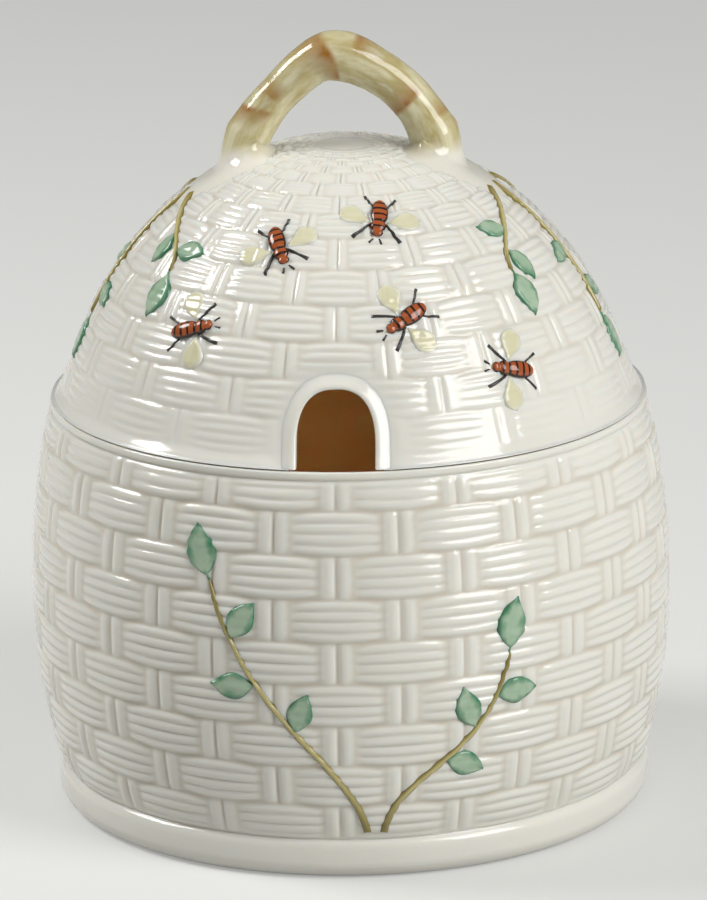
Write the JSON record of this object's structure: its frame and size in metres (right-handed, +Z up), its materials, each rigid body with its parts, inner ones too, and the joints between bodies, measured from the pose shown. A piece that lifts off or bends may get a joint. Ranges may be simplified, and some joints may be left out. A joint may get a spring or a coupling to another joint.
{
  "type": "honey pot with lift-off lid",
  "caption": "Porcelain honey pot shaped as a woven bee skep, with a domed lift-off lid, a doorway for the spoon and a twig handle.",
  "frame": {"origin": "centre of the foot ring, on the table", "axes": "+Z up through the twig handle's crown; the doorway in the lid faces -Y; the twig handle runs along X"},
  "size_m": [0.131, 0.131, 0.1584],
  "materials": {
    "cream_glaze": "glossy cream glaze over porcelain",
    "twig_glaze": "glossy pale olive glaze with brown touches",
    "stem_paint": "underglaze olive paint on low relief",
    "leaf_paint": "underglaze green paint on low relief",
    "bee_paint": "underglaze rust-brown paint on low relief",
    "wing_paint": "underglaze pale yellow paint on low relief"
  },
  "bodies": {
    "pot": {"pot": "cream_glaze", "pot_weave": "cream_glaze", "pot_stems": "stem_paint", "pot_leaves": "leaf_paint"},
    "lid": {"lid": "cream_glaze", "lid_flange": "cream_glaze", "door_lip": "cream_glaze", "lid_weave": "cream_glaze", "handle": "twig_glaze", "lid_stems": "stem_paint", "lid_leaves": "leaf_paint", "bee_bodies": "bee_paint", "bee_wings": "wing_paint"}
  },
  "joints": [
    {"name": "lid_lift", "type": "slide", "parent": "pot", "child": "lid", "axis": [0, 0, 1], "range_m": [0, 0.06]}
  ]
}
